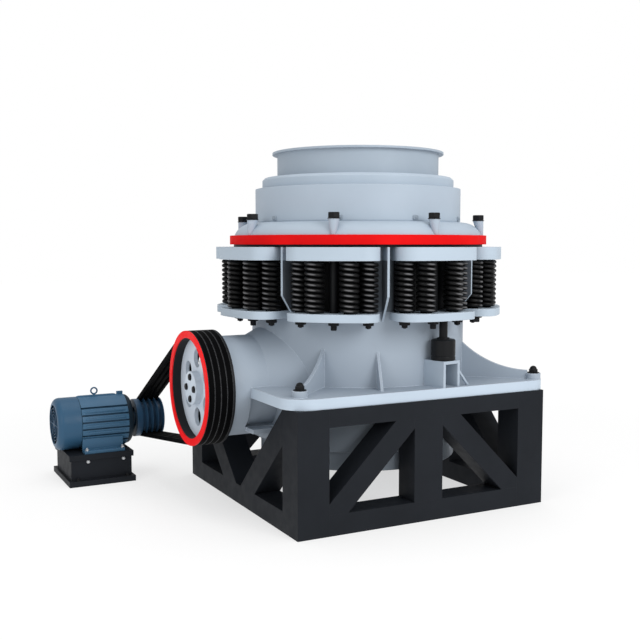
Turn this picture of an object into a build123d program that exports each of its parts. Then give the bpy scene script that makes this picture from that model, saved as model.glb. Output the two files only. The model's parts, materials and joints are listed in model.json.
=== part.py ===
# Spring cone crusher on a framed steel stand, driven by a foot-mounted motor through V-belts.
# Frame: millimetres, +Z up, origin on the crusher's vertical axis at ground level.
# The countershaft runs along -X to the sheave, and the motor stands beside it towards +Y.
# Angles round the crusher's axis are measured from +X towards +Y, in degrees.

import os
from math import acos, atan2, cos, degrees, hypot, radians, sin

from build123d import *

os.makedirs("parts", exist_ok=True)

# Stand, which fits round the lower shell
stand_clearance = 20.0
stand_height = 860.0
post_width = 235.0
member_depth = 205.0
bottom_rail_height = 145.0
top_rail_height = 122.0
knee_brace_width = 154.0
knee_brace_peak_height = 40.0  # over the stand's top, where the centre lines of two knee braces would meet
v_brace_width = 180.0
v_brace_foot_reach = 174.0  # from the middle to a V-brace's centre line, on top of the rail
v_brace_head_depth = 141.0  # below the stand's top, where its centre line meets the corner post
foundation_bolt_inset_width = 115.0  # from the stand's outer faces
foundation_bolt_radius = 18.0
foundation_bolt_depth = 160.0

# Main frame casting
base_plate_overhang_length = 45.0  # past the stand, along the countershaft
base_plate_inset_width = 10.0  # behind the stand's faces, on the other two sides
base_plate_thickness = 75.0
left_corner_radius = 183.0
right_corner_radius = 114.0
shell_radius = 830.0
shell_wall = 75.0
shell_height = 994.0  # above the base plate
shell_depth = 540.0  # below the stand's top
lower_shell_step_width = 30.0
lower_band_step_width = 35.0
lower_band_height = 140.0
hub_radius = 330.0
hub_height = 355.0  # above the base plate
arm_thickness = 120.0
arm_depth = 100.0  # from the stand's top down to the arms
corner_rib_thickness = 24.0
corner_rib_height = 270.0
corner_rib_toe_height = 65.0
corner_rib_lap_length = 10.0  # of a rib over its boss
corner_rib_curve_radius = 730.0
side_rib_thickness = 20.0
side_rib_height = 255.0
side_rib_length = 160.0
side_rib_angle = -109.4

# Countershaft tube, with a flare at the shell, a pocket in each side and a ledge under it
shaft_lift_height = 45.0  # from the stand's top up to the countershaft's axis
shaft_clearance = 0.3
tube_radius = 370.0
tube_overhang_length = 120.0  # past the base plate
tube_flare_reach = 100.0  # outside the shell
tube_flare_length = 310.0
tube_flare_width = 155.0  # of the radius over the flare's length
tube_pocket_height = 230.0
tube_pocket_depth = 37.0
tube_ledge_length = 160.0
tube_ledge_width = 700.0
tube_ledge_thickness = 30.0
tube_ledge_depth = 280.0  # from the countershaft's axis down to the ledge
tube_ledge_inset_length = 20.0  # from the edge of the base plate

# Anchor bosses on the base plate and the dome nuts on them
boss_radius = 54.0
boss_height = 45.0
left_boss_inset = (125.0, 120.0)
right_boss_inset = (75.0, 72.0)
dome_nut_radius = 35.0
dome_nut_height = 55.0
dome_nut_round_radius = 28.0

# Release springs between the seat plates, in groups round the shell
group_count = 8
first_group_angle = -84.6
seat_plate_half_angle = 19.0
upper_plate_width = 283.0
upper_plate_corner_radius = 118.0
upper_plate_thickness = 93.0
lower_plate_width = 280.0
lower_plate_corner_radius = 128.0
lower_plate_thickness = 55.0
plate_shell_gap = 3.0
spring_height = 363.0
spring_diameter = 142.6
wire_diameter = 27.0
spring_turns = 10
near_spring_reach = 184.0  # offsets here are from the shell's outside to the axis of a spring or rod
near_spring_angle = 6.9
far_spring_reach = 119.0
far_spring_angle = 14.67
seat_gap = 0.3
tie_rod_radius = 30.0
tie_rod_reach = 107.0
tie_stud_radius = 23.0
tie_stud_length = 67.0
tie_nut_radius = 39.0
tie_nut_height = 20.0
seat_bolt_radius = 21.0
seat_bolt_length = 52.0
seat_washer_radius = 39.0
seat_washer_thickness = 20.0

# Gusset plates between the spring groups
gusset_thickness = 16.0
gusset_width = 158.0
gusset_straight_length = 341.0
gusset_length = 524.0

# Rings and cap above the springs
seal_ring_overhang_width = 140.0
seal_ring_thickness = 18.0
locking_ring_overhang_width = 170.0
locking_ring_thickness = 68.0
ring_bore_step_width = 40.0
dome_foot_inset_width = 35.0
dome_shoulder_inset_width = 85.0
dome_shoulder_depth = 31.0
dome_height = 96.0
cap_step_width = 30.5  # the cap's radius is this much under the shell's
cap_height = 259.0
cap_wall = 130.0
cap_foot_inset_width = 3.5
cap_foot_height = 10.0
hopper_flange_step_width = 54.5
hopper_flange_height = 85.0
hopper_flange_bevel_width = 18.0
hopper_step_width = 117.0
hopper_height = 198.0
hopper_wall = 25.0
hopper_rim_width = 38.0
hopper_rim_thickness = 16.0

# Lifting posts on the locking ring, leaning in towards their caps
post_shell_reach = 107.0
post_height = 110.0
post_top_radius = 40.0
post_foot_radius = 20.0
post_lean_width = 20.0
post_cap_radius = 42.0
post_cap_height = 45.0

# Crushing chamber
liner_wall = 60.0
liner_clearance = 5.0
liner_mouth_wall = 109.5
liner_top_depth = 70.0  # from the cap's top
liner_depth = 189.0  # below the shell's top
mantle_top_radius = 190.0
mantle_height = 450.0
mantle_depth = 229.0  # below the shell's top
discharge_gap = 35.0
cone_body_skirt_height = 140.0
cone_body_step_width = 95.0
feed_plate_radius = 235.0
feed_plate_thickness = 45.0

# Release cylinder and its support box
cylinder_angle = -78.3
cylinder_reach = 104.5
cylinder_radius = 87.0
cylinder_height = 150.0
cylinder_round_radius = 12.0
cylinder_rod_radius = 30.0
support_box_width = 166.0
support_box_reach = 190.0  # from the shell to the open front
support_box_height = 187.0
support_box_wall = 22.0
strut_height = 125.0
strut_reach = 110.0
strut_width = 22.0
strut_thickness = 14.0

# Sheave
shaft_radius = 68.0
sheave_radius = 419.0
rim_left_lip_width = 4.0
rim_right_lip_width = 18.0
sheave_rim_wall = 52.0
face_ring_thickness = 8.0
web_depth = 74.0
web_thickness = 30.0
web_holes = 6
web_hole_radius = 68.0
web_hole_circle_radius = 216.0
web_hole_start = 30.0
hub_face_depth = 21.0
sheave_hub_radius = 122.0
hub_bolt_count = 4
hub_bolt_circle_radius = 80.0
hub_bolt_radius = 20.0
hub_bolt_height = 12.0
sheave_tube_gap = 18.0

# V-belts
belt_count = 4
belt_pitch = 46.0
belt_top_width = 38.0
belt_bottom_width = 24.0
belt_height = 30.0
belt_clearance = 1.0

# Motor and its pulley
motor_y = 1330.0
motor_z = 467.0
pulley_radius = 160.0
pulley_left_lip_width = 48.0
pulley_right_lip_width = 7.0
pulley_rim_wall = 62.0
pulley_hollow_depth = 70.0
pulley_boss_wall = 20.0
motor_shaft_radius = 38.0
motor_radius = 214.0
motor_grooves = 6
motor_groove_spacing = 56.0
motor_groove_width = 14.0
motor_groove_depth = 18.0
motor_length = 385.0
pulley_gap = 22.0  # from the end shield's nose to the pulley
end_shield_step_width = 6.0
end_shield_thickness = 52.0
end_shield_round_radius = 44.0
shield_nose_radius = 110.0
shield_nose_thickness = 14.0
fan_cover_length = 192.0
fan_cover_step_width = 2.0
fan_cover_bevel_width = 52.0
foot_length = 330.0
foot_overhang_width = 48.0
foot_clearance = 4.0  # from the motor's underside to its pedestal
foot_plate_width = 95.0
foot_plate_thickness = 24.0
foot_web_thickness = 30.0
eye_setback_length = 145.0  # from the body's left end
eye_ring_radius = 25.5
eye_wire_radius = 6.5
eye_boss_radius = 20.0
eye_boss_height = 18.0
lug_length = 50.0
lug_thickness = 22.0
lug_height = 26.0

# Motor pedestal
pedestal_setback_length = 133.0  # from the body's left end to the pedestal's middle
pedestal_box = (494.0, 550.0)
pedestal_top_plate = (524.0, 570.0)
pedestal_base_plate = (540.0, 636.0)
pedestal_plate_thickness = 45.0

# Derived levels and places
lower_shell_radius = shell_radius - lower_shell_step_width
lower_band_radius = lower_shell_radius - lower_band_step_width
shell_inside = shell_radius - shell_wall
shell_middle = shell_radius - shell_wall / 2
stand_side = 2 * (lower_shell_radius + stand_clearance + member_depth)
foundation_bolt_spacing = stand_side - 2 * foundation_bolt_inset_width
base_plate_length = stand_side + 2 * base_plate_overhang_length
base_plate_width = stand_side - 2 * base_plate_inset_width
base_plate_top = stand_height + base_plate_thickness
shell_top = base_plate_top + shell_height
shell_bottom = stand_height - shell_depth
shaft_height = stand_height + shaft_lift_height
upper_plate_bottom = shell_top - upper_plate_thickness
lower_plate_top = upper_plate_bottom - spring_height
lower_plate_bottom = lower_plate_top - lower_plate_thickness
locking_ring_bottom = shell_top + seal_ring_thickness
locking_ring_top = locking_ring_bottom + locking_ring_thickness
dome_top = locking_ring_top + dome_height
cap_top = dome_top + cap_height
hopper_flange_top = cap_top + hopper_flange_height
hopper_top = hopper_flange_top + hopper_height
post_top = locking_ring_top + post_height
ring_inner_radius = shell_radius - ring_bore_step_width
locking_ring_radius = shell_radius + locking_ring_overhang_width
dome_foot_radius = locking_ring_radius - dome_foot_inset_width
cap_radius = shell_radius - cap_step_width
cap_inner = cap_radius - cap_wall
hopper_flange_radius = cap_radius - hopper_flange_step_width
hopper_radius = hopper_flange_radius - hopper_step_width
hopper_inner = hopper_radius - hopper_wall
spring_radius = (spring_diameter - wire_diameter) / 2
group_angles = [first_group_angle + 360 / group_count * k for k in range(group_count)]
gusset_angles = [angle + 180 / group_count for angle in group_angles]
sheave_rim_inner = sheave_radius - sheave_rim_wall
tube_end = -base_plate_length / 2 - tube_overhang_length
sheave_back = tube_end - sheave_tube_gap
belts_width = (belt_count - 1) * belt_pitch + belt_top_width + 2 * belt_clearance
belt_middle = sheave_back - rim_right_lip_width - belts_width / 2
sheave_face = belt_middle - belts_width / 2 - rim_left_lip_width - face_ring_thickness
belt_places = [belt_middle + belt_pitch * (k - (belt_count - 1) / 2) for k in range(belt_count)]
pulley_left = belt_middle - belts_width / 2 - pulley_left_lip_width
pulley_right = belt_middle + belts_width / 2 + pulley_right_lip_width
shield_nose_right = pulley_left - pulley_gap
end_shield_right = shield_nose_right - shield_nose_thickness
motor_right = end_shield_right - end_shield_thickness
motor_left = motor_right - motor_length
motor_top = motor_z + motor_radius
pedestal_top = motor_z - motor_radius - foot_clearance
foot_top = pedestal_top + foot_plate_thickness


def face_plane(angle):
    """Plane of one side of the stand, its normal outwards and its local Y upwards."""
    a = radians(angle)
    reach = stand_side / 2
    return Plane(
        origin=(reach * cos(a), reach * sin(a), 0),
        x_dir=(-sin(a), cos(a), 0),
        z_dir=(cos(a), sin(a), 0),
    )


def radial_plane(angle, offset=0.0):
    """Upright plane through the crusher's axis: local X runs outwards at angle, local Y upwards."""
    a = radians(angle)
    plane = Plane(origin=(0, 0, 0), x_dir=(cos(a), sin(a), 0), z_dir=(sin(a), -cos(a), 0))
    return plane.offset(offset)


def polar(reach, angle):
    """Point at a distance from the crusher's axis and an angle round it."""
    return (reach * cos(radians(angle)), reach * sin(radians(angle)))


def revolved(points):
    """Solid of revolution about the crusher's axis of a closed outline of (radius, height) points."""
    with BuildPart() as body:
        with BuildSketch(Plane.XZ):
            with BuildLine():
                Polyline(*points, close=True)
            make_face()
        revolve(axis=Axis.Z)
    return body.part


def shaft_plane(x, y, z):
    """Plane across a shaft that runs along X: local X runs along +Y, local Y upwards."""
    return Plane(origin=(x, y, z), x_dir=(0, 1, 0), z_dir=(1, 0, 0))


# Stand: corner posts with sockets for the foundation bolts in their feet
bay = stand_side - 2 * post_width
trussed_sides = (-90.0, 0.0, 90.0)
tube_side = 180.0
bay_bottom = bottom_rail_height
bay_top = stand_height - top_rail_height

with BuildPart() as stand_corner_posts:
    with BuildSketch():
        with GridLocations(stand_side - post_width, stand_side - post_width, 2, 2):
            Rectangle(post_width, post_width)
    extrude(amount=stand_height)
    with BuildSketch():
        with GridLocations(foundation_bolt_spacing, foundation_bolt_spacing, 2, 2):
            Circle(foundation_bolt_radius)
    extrude(amount=foundation_bolt_depth, mode=Mode.SUBTRACT)
stand_corner_posts.part.label = "stand_corner_posts"
export_step(stand_corner_posts.part, "parts/stand_corner_posts.step")

with BuildPart() as stand_bottom_rails:
    for side in (*trussed_sides, tube_side):
        with BuildSketch(face_plane(side)):
            with Locations((0, bottom_rail_height / 2)):
                Rectangle(bay, bottom_rail_height)
        extrude(amount=-member_depth)
stand_bottom_rails.part.label = "stand_bottom_rails"
export_step(stand_bottom_rails.part, "parts/stand_bottom_rails.step")

with BuildPart() as stand_top_rails:
    for side in trussed_sides:
        with BuildSketch(face_plane(side)):
            with Locations((0, stand_height - top_rail_height / 2)):
                Rectangle(bay, top_rail_height)
        extrude(amount=-member_depth)
stand_top_rails.part.label = "stand_top_rails"
export_step(stand_top_rails.part, "parts/stand_top_rails.step")

with BuildPart() as stand_centre_posts:
    for side in trussed_sides:
        with BuildSketch(face_plane(side)):
            with Locations((0, (bay_bottom + bay_top) / 2)):
                Rectangle(post_width, bay_top - bay_bottom)
        extrude(amount=-member_depth)
stand_centre_posts.part.label = "stand_centre_posts"
export_step(stand_centre_posts.part, "parts/stand_centre_posts.step")

# Knee braces rise from each bottom corner to the top of the centre post
half_bay = (bay - post_width) / 2
half_bay_middle = (bay + post_width) / 4
brace_peak = stand_height + knee_brace_peak_height
with BuildPart() as stand_knee_braces:
    for side in trussed_sides:
        for hand in (-1, 1):
            with BuildSketch(face_plane(side)):
                with Locations((hand * half_bay_middle, (bay_bottom + bay_top) / 2)):
                    Rectangle(half_bay, bay_top - bay_bottom)
                with Locations((hand * half_bay_middle, brace_peak - half_bay_middle)):
                    Rectangle(2 * bay, knee_brace_width, rotation=-45 * hand, mode=Mode.INTERSECT)
            extrude(amount=-member_depth)
stand_knee_braces.part.label = "stand_knee_braces"
export_step(stand_knee_braces.part, "parts/stand_knee_braces.step")

# On the countershaft's side two braces make a V that leaves the tube its room
v_brace_rise = stand_height - v_brace_head_depth - bay_bottom
v_brace_slope = degrees(atan2(v_brace_rise, bay / 2 - v_brace_foot_reach))
with BuildPart() as stand_v_braces:
    for hand in (-1, 1):
        with BuildSketch(face_plane(tube_side)):
            with Locations((hand * bay / 4, (bay_bottom + stand_height) / 2)):
                Rectangle(bay / 2, stand_height - bay_bottom)
            with Locations((hand * v_brace_foot_reach, bay_bottom)):
                Rectangle(2 * bay, v_brace_width, rotation=v_brace_slope * hand, mode=Mode.INTERSECT)
        extrude(amount=-member_depth)
stand_v_braces.part.label = "stand_v_braces"
export_step(stand_v_braces.part, "parts/stand_v_braces.step")

# Main frame: base plate, upper and lower shell, hub, arms, countershaft tube and ribs in one casting
boss_places = []
for hand, inset in ((-1, left_boss_inset), (1, right_boss_inset)):
    boss_x = hand * (base_plate_length / 2 - inset[0])
    boss_y = base_plate_width / 2 - inset[1]
    boss_places.extend([(boss_x, -boss_y), (boss_x, boss_y)])
shaft_axis = Axis((0, 0, shaft_height), (1, 0, 0))
shaft_section = Plane(origin=(0, 0, shaft_height), x_dir=(1, 0, 0), z_dir=(0, -1, 0))
with BuildPart() as main_frame:
    with BuildSketch(Plane.XY.offset(stand_height)) as plate_outline:
        Rectangle(base_plate_length, base_plate_width)
        fillet(plate_outline.vertices().group_by(Axis.X)[0], left_corner_radius)
        fillet(plate_outline.vertices().group_by(Axis.X)[-1], right_corner_radius)
    extrude(amount=base_plate_thickness)
    with BuildSketch(Plane.XY.offset(base_plate_top)):
        with Locations(*boss_places):
            Circle(boss_radius)
    extrude(amount=boss_height)
    add(
        revolved(
            [
                (0, shell_bottom),
                (lower_band_radius, shell_bottom),
                (lower_band_radius, shell_bottom + lower_band_height),
                (lower_shell_radius, shell_bottom + lower_band_height),
                (lower_shell_radius, stand_height),
                (shell_radius, stand_height),
                (shell_radius, shell_top),
                (0, shell_top),
            ]
        )
    )
    # The tube widens in a flare that ends inside the shell
    flare_start = -shell_radius - tube_flare_reach
    flare_end = flare_start + tube_flare_length
    with BuildSketch(shaft_section):
        with BuildLine():
            Polyline(
                (tube_end, 0),
                (tube_end, tube_radius),
                (flare_start, tube_radius),
                (flare_end, tube_radius + tube_flare_width),
                (flare_end, 0),
                close=True,
            )
        make_face()
    revolve(axis=shaft_axis)
    plate_edge = -base_plate_length / 2
    with BuildSketch(shaft_plane(plate_edge, 0, 0)):
        with Locations((0, stand_height - tube_pocket_height / 2)):
            Rectangle(3 * tube_radius, tube_pocket_height)
        with Locations((0, shaft_height)):
            Circle(tube_radius - tube_pocket_depth, mode=Mode.SUBTRACT)
    extrude(amount=-plate_edge - shell_radius, mode=Mode.SUBTRACT)
    with BuildSketch(Plane.XY.offset(shaft_height - tube_ledge_depth - tube_ledge_thickness)):
        with Locations((plate_edge + tube_ledge_inset_length + tube_ledge_length / 2, 0)):
            Rectangle(tube_ledge_length, tube_ledge_width)
    extrude(amount=tube_ledge_thickness)
    # The inside is cut to a wall, and the hub, the arms and the tube are put back in it
    add(
        revolved(
            [
                (0, shell_bottom),
                (lower_band_radius - shell_wall, shell_bottom),
                (lower_band_radius - shell_wall, stand_height),
                (shell_inside, base_plate_top),
                (shell_inside, shell_top),
                (0, shell_top),
            ]
        ),
        mode=Mode.SUBTRACT,
    )
    with BuildSketch(Plane.XY.offset(shell_bottom)):
        Circle(hub_radius)
    extrude(amount=base_plate_top + hub_height - shell_bottom)
    with BuildSketch(Plane.XY.offset(shell_bottom)):
        for angle in (0, 90):
            with Locations(Location((0, 0, 0), (0, 0, angle))):
                Rectangle(2 * lower_band_radius - shell_wall, arm_thickness)
    extrude(amount=stand_height - arm_depth - shell_bottom)
    with BuildSketch(shaft_plane(-shell_middle, 0, shaft_height)):
        Circle(tube_radius)
    extrude(amount=shell_middle - hub_radius / 2)
    with BuildSketch(shaft_plane(tube_end, 0, shaft_height)):
        Circle(shaft_radius + shaft_clearance)
    extrude(amount=-tube_end, mode=Mode.SUBTRACT)
    # Concave ribs run down to the bosses, straight ones stand on the other sides of the shell
    for place in boss_places:
        toe_reach = hypot(place[0], place[1]) - boss_radius + corner_rib_lap_length
        toe = (toe_reach, base_plate_top + corner_rib_toe_height)
        head = (shell_radius, base_plate_top + corner_rib_height)
        with BuildSketch(radial_plane(degrees(atan2(place[1], place[0])), -corner_rib_thickness / 2)):
            with BuildLine():
                Polyline(
                    head,
                    (shell_middle, base_plate_top + corner_rib_height),
                    (shell_middle, stand_height),
                    (toe_reach, stand_height),
                    toe,
                )
                RadiusArc(toe, head, corner_rib_curve_radius)
            make_face()
        extrude(amount=corner_rib_thickness)
    for angle in (side_rib_angle, side_rib_angle + 90, side_rib_angle + 180):
        with BuildSketch(radial_plane(angle, -side_rib_thickness / 2)):
            with BuildLine():
                Polyline(
                    (shell_middle, stand_height),
                    (shell_radius + side_rib_length, stand_height),
                    (shell_radius + side_rib_length, base_plate_top),
                    (shell_radius, base_plate_top + side_rib_height),
                    (shell_middle, base_plate_top + side_rib_height),
                    close=True,
                )
            make_face()
        extrude(amount=side_rib_thickness)
main_frame.part.label = "main_frame"
export_step(main_frame.part, "parts/main_frame.step")

# Dome nuts of the anchor bolts
with BuildPart() as anchor_nuts:
    with BuildSketch(Plane.XY.offset(base_plate_top + boss_height)):
        with Locations(*boss_places):
            Circle(dome_nut_radius)
    extrude(amount=dome_nut_height)
    fillet(anchor_nuts.faces().group_by(Axis.Z)[-1].edges(), dome_nut_round_radius)
anchor_nuts.part.label = "anchor_nuts"
export_step(anchor_nuts.part, "parts/anchor_nuts.step")


def seat_plate(inner, outer, corner, middle_angle):
    """Sketch of a seat plate about a middle angle: a sector of a ring with rounded outer corners."""
    tips = [polar(outer, middle_angle + side * seat_plate_half_angle) for side in (-1, 0, 1)]
    roots = [polar(inner, middle_angle + side * seat_plate_half_angle) for side in (1, 0, -1)]
    with BuildSketch() as plate:
        with BuildLine():
            ThreePointArc(*tips)
            Line(tips[2], roots[0])
            ThreePointArc(*roots)
            Line(roots[2], tips[0])
        make_face()
        outer_corners = sorted(plate.vertices(), key=lambda v: hypot(v.X, v.Y))[-2:]
        fillet(outer_corners, corner)
    return plate.sketch


# Seat plates over and under the springs, eight of each round the frame
with BuildPart() as upper_seat_plates:
    with BuildSketch(Plane.XY.offset(upper_plate_bottom)):
        for angle in group_angles:
            add(seat_plate(shell_radius, shell_radius + upper_plate_width, upper_plate_corner_radius, angle))
    extrude(amount=upper_plate_thickness)
upper_seat_plates.part.label = "upper_seat_plates"
export_step(upper_seat_plates.part, "parts/upper_seat_plates.step")

lower_plate_inner = shell_radius + plate_shell_gap
lower_plate_outer = shell_radius + lower_plate_width
with BuildPart() as lower_seat_plates:
    with BuildSketch(Plane.XY.offset(lower_plate_bottom)):
        for angle in group_angles:
            add(seat_plate(lower_plate_inner, lower_plate_outer, lower_plate_corner_radius, angle))
    extrude(amount=lower_plate_thickness)
lower_seat_plates.part.label = "lower_seat_plates"
export_step(lower_seat_plates.part, "parts/lower_seat_plates.step")

# Release springs: round wire wound ten turns, its ends ground flat on the seats
spring_places = []
for angle in group_angles:
    for hand in (-1, 1):
        spring_places.append(polar(shell_radius + near_spring_reach, angle + hand * near_spring_angle))
        spring_places.append(polar(shell_radius + far_spring_reach, angle + hand * far_spring_angle))

coil_height = spring_height - 2 * seat_gap
coil_pitch = coil_height / spring_turns
with BuildPart() as one_spring:
    with BuildSketch(Plane.XZ):
        with BuildLine():
            outline = [(spring_radius - wire_diameter / 2, 0), (spring_radius, 0)]
            for turn in range(spring_turns):
                outline.append((spring_radius + wire_diameter / 2, (turn + 0.5) * coil_pitch))
                outline.append((spring_radius, (turn + 1) * coil_pitch))
            outline.append((spring_radius - wire_diameter / 2, coil_height))
            Polyline(*outline, close=True)
        make_face()
    revolve(axis=Axis.Z)

with BuildPart() as release_springs:
    with Locations(*[(x, y, lower_plate_top + seat_gap) for x, y in spring_places]):
        add(one_spring.part)
release_springs.part.label = "release_springs"
export_step(release_springs.part, "parts/release_springs.step")

# Tie rods through the middle of each group, with a nut and a stud under the lower plate
rod_places = [polar(shell_radius + tie_rod_reach, angle) for angle in group_angles]
with BuildPart() as tie_rods:
    with BuildSketch(Plane.XY.offset(lower_plate_top)):
        with Locations(*rod_places):
            Circle(tie_rod_radius)
    extrude(amount=spring_height)
    with BuildSketch(Plane.XY.offset(lower_plate_bottom)):
        with Locations(*rod_places):
            Circle(tie_nut_radius)
    extrude(amount=-tie_nut_height)
    with BuildSketch(Plane.XY.offset(lower_plate_bottom)):
        with Locations(*rod_places):
            Circle(tie_stud_radius)
    extrude(amount=-tie_stud_length)
tie_rods.part.label = "tie_rods"
export_step(tie_rods.part, "parts/tie_rods.step")

# Seat bolts under the outer springs of each group
bolt_places = []
for angle in group_angles:
    for hand in (-1, 1):
        bolt_places.append(polar(shell_radius + far_spring_reach, angle + hand * far_spring_angle))
with BuildPart() as seat_bolts:
    with BuildSketch(Plane.XY.offset(lower_plate_bottom)):
        with Locations(*bolt_places):
            Circle(seat_washer_radius)
    extrude(amount=-seat_washer_thickness)
    with BuildSketch(Plane.XY.offset(lower_plate_bottom)):
        with Locations(*bolt_places):
            Circle(seat_bolt_radius)
    extrude(amount=-seat_bolt_length)
seat_bolts.part.label = "seat_bolts"
export_step(seat_bolts.part, "parts/seat_bolts.step")

# Gusset plates stand radially between the groups, with their lower ends cut back
with BuildPart() as gusset_plates:
    for angle in gusset_angles:
        with BuildSketch(radial_plane(angle, -gusset_thickness / 2)):
            with BuildLine():
                Polyline(
                    (shell_radius, shell_top - gusset_length),
                    (shell_radius + gusset_width, shell_top - gusset_straight_length),
                    (shell_radius + gusset_width, shell_top),
                    (shell_radius, shell_top),
                    close=True,
                )
            make_face()
        extrude(amount=gusset_thickness)
gusset_plates.part.label = "gusset_plates"
export_step(gusset_plates.part, "parts/gusset_plates.step")

# Seal ring and locking ring
with BuildPart() as seal_ring:
    with BuildSketch(Plane.XY.offset(shell_top)):
        Circle(shell_radius + seal_ring_overhang_width)
        Circle(ring_inner_radius, mode=Mode.SUBTRACT)
    extrude(amount=seal_ring_thickness)
seal_ring.part.label = "seal_ring"
export_step(seal_ring.part, "parts/seal_ring.step")

with BuildPart() as locking_ring:
    with BuildSketch(Plane.XY.offset(locking_ring_bottom)):
        Circle(locking_ring_radius)
        Circle(ring_inner_radius, mode=Mode.SUBTRACT)
    extrude(amount=locking_ring_thickness)
locking_ring.part.label = "locking_ring"
export_step(locking_ring.part, "parts/locking_ring.step")

# Dome that rises from the locking ring to the adjustment cap
cap_foot_radius = cap_radius - cap_foot_inset_width
dome_shoulder_radius = locking_ring_radius - dome_shoulder_inset_width
with BuildPart() as dome:
    with BuildSketch(Plane.XZ):
        with BuildLine():
            Line((ring_inner_radius, locking_ring_top), (dome_foot_radius, locking_ring_top))
            ThreePointArc(
                (dome_foot_radius, locking_ring_top),
                (dome_shoulder_radius, dome_top - dome_shoulder_depth),
                (cap_foot_radius, dome_top),
            )
            Line((cap_foot_radius, dome_top), (cap_inner, dome_top))
            Line((cap_inner, dome_top), (ring_inner_radius, locking_ring_top))
        make_face()
    revolve(axis=Axis.Z)
dome.part.label = "dome"
export_step(dome.part, "parts/dome.step")

# Adjustment cap: thick collar with a tapered foot
with BuildPart() as adjustment_cap:
    add(
        revolved(
            [
                (cap_inner, dome_top),
                (cap_foot_radius, dome_top),
                (cap_radius, dome_top + cap_foot_height),
                (cap_radius, cap_top),
                (cap_inner, cap_top),
            ]
        )
    )
adjustment_cap.part.label = "adjustment_cap"
export_step(adjustment_cap.part, "parts/adjustment_cap.step")

# Feed hopper: flange, neck and rim
with BuildPart() as hopper_flange:
    add(
        revolved(
            [
                (hopper_inner, cap_top),
                (hopper_flange_radius, cap_top),
                (hopper_flange_radius, hopper_flange_top - hopper_flange_bevel_width),
                (hopper_flange_radius - hopper_flange_bevel_width, hopper_flange_top),
                (hopper_inner, hopper_flange_top),
            ]
        )
    )
hopper_flange.part.label = "hopper_flange"
export_step(hopper_flange.part, "parts/hopper_flange.step")

with BuildPart() as feed_hopper:
    add(
        revolved(
            [
                (hopper_inner, hopper_flange_top),
                (hopper_radius, hopper_flange_top),
                (hopper_radius, hopper_top - hopper_rim_thickness),
                (hopper_radius + hopper_rim_width, hopper_top - hopper_rim_thickness),
                (hopper_radius + hopper_rim_width, hopper_top),
                (hopper_inner, hopper_top),
            ]
        )
    )
feed_hopper.part.label = "feed_hopper"
export_step(feed_hopper.part, "parts/feed_hopper.step")

# Lifting posts on the locking ring, with their caps
post_reach = shell_radius + post_shell_reach
post_places = [polar(post_reach, angle) for angle in group_angles]
post_feet = [polar(post_reach + post_lean_width, angle) for angle in group_angles]
with BuildPart() as lifting_posts:
    for foot, head in zip(post_feet, post_places):
        with BuildSketch(Plane.XY.offset(locking_ring_top)):
            with Locations(foot):
                Circle(post_foot_radius)
        with BuildSketch(Plane.XY.offset(post_top)):
            with Locations(head):
                Circle(post_top_radius)
        loft()
    add(dome.part, mode=Mode.SUBTRACT)
lifting_posts.part.label = "lifting_posts"
export_step(lifting_posts.part, "parts/lifting_posts.step")

with BuildPart() as post_caps:
    with BuildSketch(Plane.XY.offset(post_top)):
        with Locations(*post_places):
            Circle(post_cap_radius)
    extrude(amount=post_cap_height)
post_caps.part.label = "post_caps"
export_step(post_caps.part, "parts/post_caps.step")

# Bowl liner: the fixed wall of the crushing chamber, hung inside the cap and the shell
liner_exit_radius = shell_inside - liner_clearance - liner_wall
liner_top = cap_top - liner_top_depth
liner_bottom = shell_top - liner_depth
with BuildPart() as bowl_liner:
    add(
        revolved(
            [
                (cap_inner - liner_mouth_wall, liner_top),
                (cap_inner, liner_top),
                (cap_inner, locking_ring_bottom),
                (liner_exit_radius + liner_wall, liner_bottom + liner_wall),
                (liner_exit_radius + liner_wall, liner_bottom),
                (liner_exit_radius, liner_bottom),
            ]
        )
    )
bowl_liner.part.label = "bowl_liner"
export_step(bowl_liner.part, "parts/bowl_liner.step")

# Crushing cone: body, mantle and feed plate
mantle_bottom = shell_top - mantle_depth
mantle_top = mantle_bottom + mantle_height
mantle_bottom_radius = liner_exit_radius - discharge_gap
with BuildPart() as cone_body:
    add(
        revolved(
            [
                (0, base_plate_top + hub_height),
                (hub_radius, base_plate_top + hub_height),
                (mantle_bottom_radius - cone_body_step_width, mantle_bottom - cone_body_skirt_height),
                (mantle_bottom_radius, mantle_bottom),
                (0, mantle_bottom),
            ]
        )
    )
cone_body.part.label = "cone_body"
export_step(cone_body.part, "parts/cone_body.step")

with BuildPart() as mantle:
    add(
        revolved(
            [
                (0, mantle_bottom),
                (mantle_bottom_radius, mantle_bottom),
                (mantle_top_radius, mantle_top),
                (0, mantle_top),
            ]
        )
    )
mantle.part.label = "mantle"
export_step(mantle.part, "parts/mantle.step")

with BuildPart() as feed_plate:
    with BuildSketch(Plane.XY.offset(mantle_top)):
        Circle(feed_plate_radius)
    extrude(amount=feed_plate_thickness)
feed_plate.part.label = "feed_plate"
export_step(feed_plate.part, "parts/feed_plate.step")

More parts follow.
